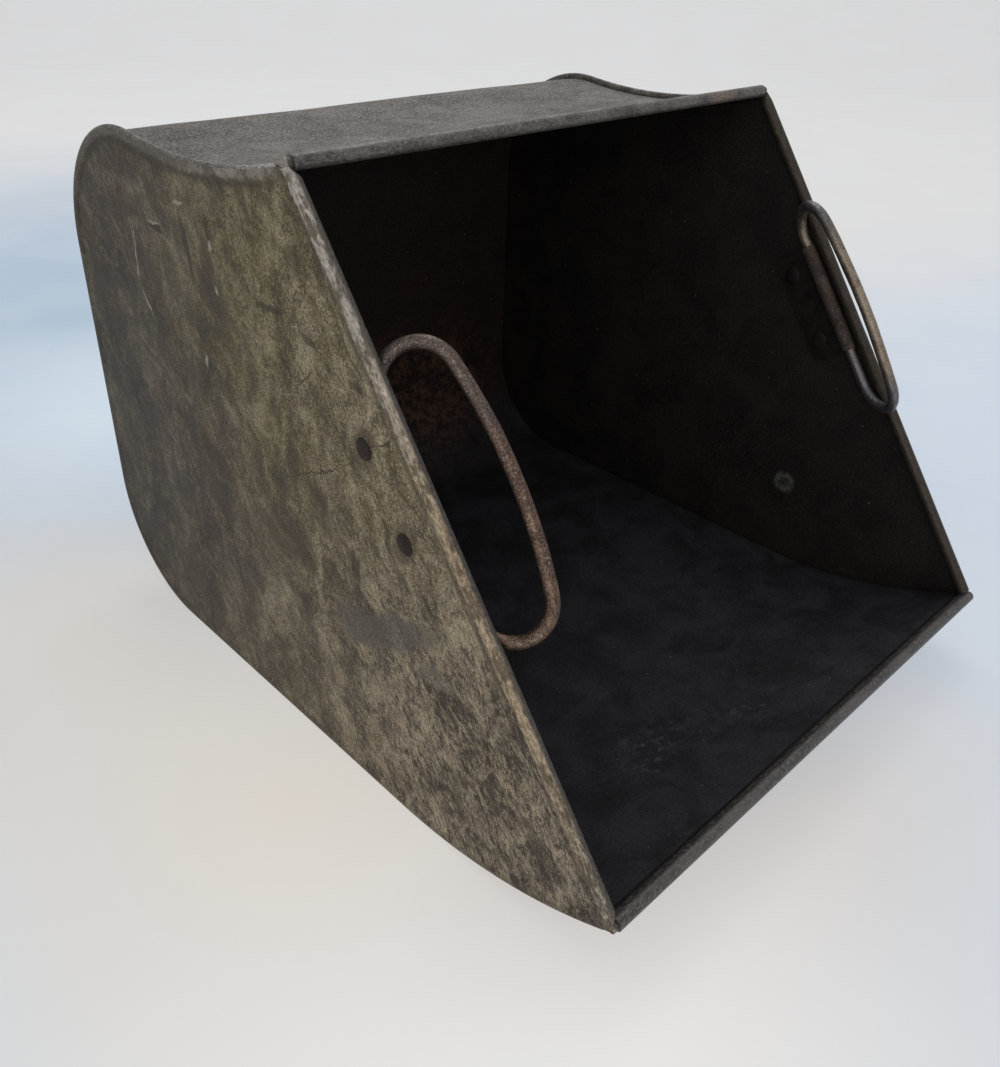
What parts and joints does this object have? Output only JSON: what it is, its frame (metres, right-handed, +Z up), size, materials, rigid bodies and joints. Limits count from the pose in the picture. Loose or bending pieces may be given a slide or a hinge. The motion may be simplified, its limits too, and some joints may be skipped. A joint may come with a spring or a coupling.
{
  "type": "coal box",
  "caption": "Scoop-shaped coal box of sheet steel with a slanted open mouth, a wired rim, folded side seams and a swinging wire ring handle on each side.",
  "frame": {"origin": "the floor under the middle of the box's outer size", "axes": "+X to the right of someone who faces the open mouth, +Y from the mouth to the back, +Z up"},
  "size_m": [0.3014, 0.367, 0.2683],
  "materials": {
    "body_sheet": "dull, stained and speckled old sheet",
    "side_sheet": "dull grey-green with brown stains and scratches",
    "rim_wire": "dull",
    "ring_wire": "worn and rusted",
    "bracket_sheet": "dull and rusted",
    "rivet_iron": "dark and dull"
  },
  "bodies": {
    "box": {"body_sheet": "body_sheet", "left_side": "side_sheet", "right_side": "side_sheet", "top_rim_wire": "rim_wire", "bottom_rim_wire": "rim_wire", "left_rim_wire": "rim_wire", "right_rim_wire": "rim_wire", "left_bracket": "bracket_sheet", "right_bracket": "bracket_sheet", "left_rivet_upper": "rivet_iron", "left_rivet_lower": "rivet_iron", "right_rivet_upper": "rivet_iron", "right_rivet_lower": "rivet_iron"},
    "left_ring": {"left_handle": "ring_wire"},
    "right_ring": {"right_handle": "ring_wire"}
  },
  "joints": [
    {"name": "left_ring_hinge", "type": "hinge", "parent": "box", "child": "left_ring", "pos_m": [-0.14517, -0.07161, 0.16603], "axis": [0, -0.5967, -0.8025], "range_deg": [-144, 1.08]},
    {"name": "right_ring_hinge", "type": "hinge", "parent": "box", "child": "right_ring", "pos_m": [0.14517, -0.06892, 0.16964], "axis": [0, 0.5967, 0.8025], "range_deg": [-144, 1.08]}
  ]
}
